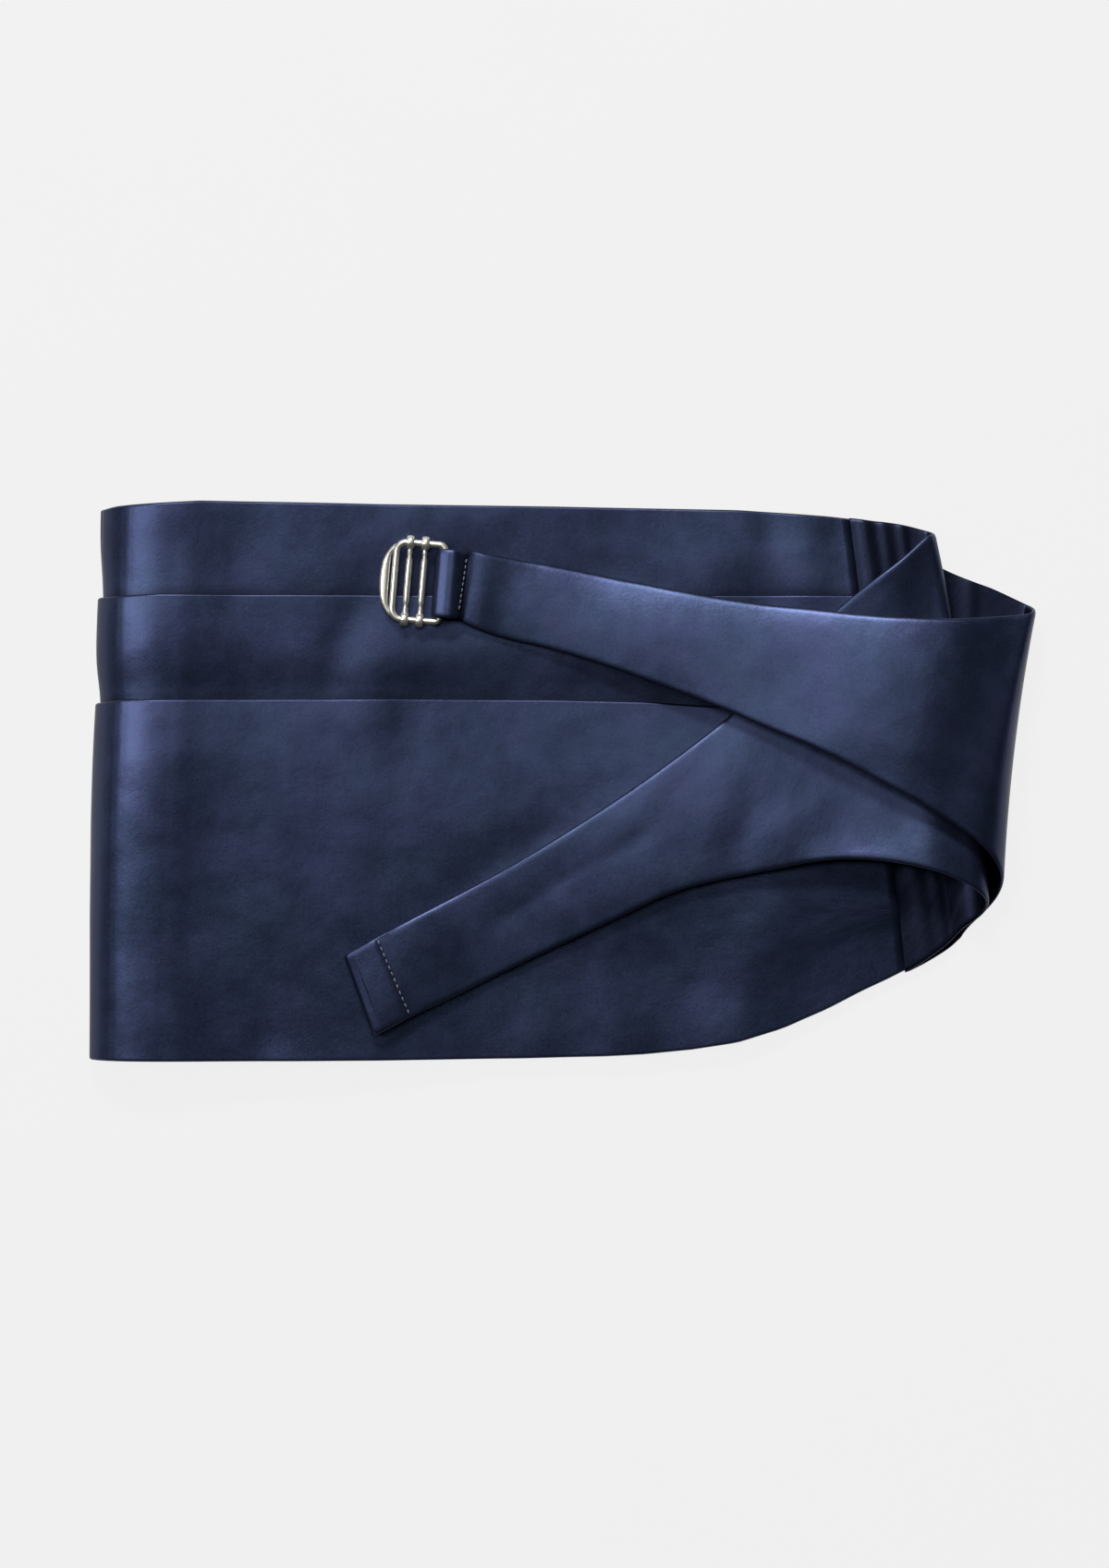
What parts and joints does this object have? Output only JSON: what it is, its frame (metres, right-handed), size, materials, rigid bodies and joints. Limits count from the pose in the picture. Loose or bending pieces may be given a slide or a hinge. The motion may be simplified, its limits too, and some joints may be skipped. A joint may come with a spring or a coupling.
{
  "type": "cummerbund",
  "caption": "Pleated navy satin cummerbund folded in half and laid flat, its two tapering straps folded back over the front, one with a sliding wire buckle.",
  "frame": {"origin": "centre of the bounding box, on the surface that the garment lies on", "axes": "+X along the band, from the soft fold towards the strap folds; +Y up the band's height, pleats open this way; +Z away from the surface"},
  "size_m": [0.2266, 0.1337, 0.0173],
  "materials": {
    "navy_satin": "satin sheen",
    "silver_metal": "polished nickel"
  },
  "bodies": {
    "root": {"front_panel": "navy_satin", "plain_strap": "navy_satin", "buckle_strap": "navy_satin"},
    "buckle": {"buckle_frame": "silver_metal", "slide_bar_inner": "silver_metal", "slide_bar_outer": "silver_metal"}
  },
  "joints": [
    {"name": "buckle_swing", "type": "hinge", "parent": "root", "child": "buckle", "pos_m": [-0.0284, 0.047, 0.01], "axis": [0.0819, 0.9966, 0], "range_deg": [0, 140]}
  ]
}
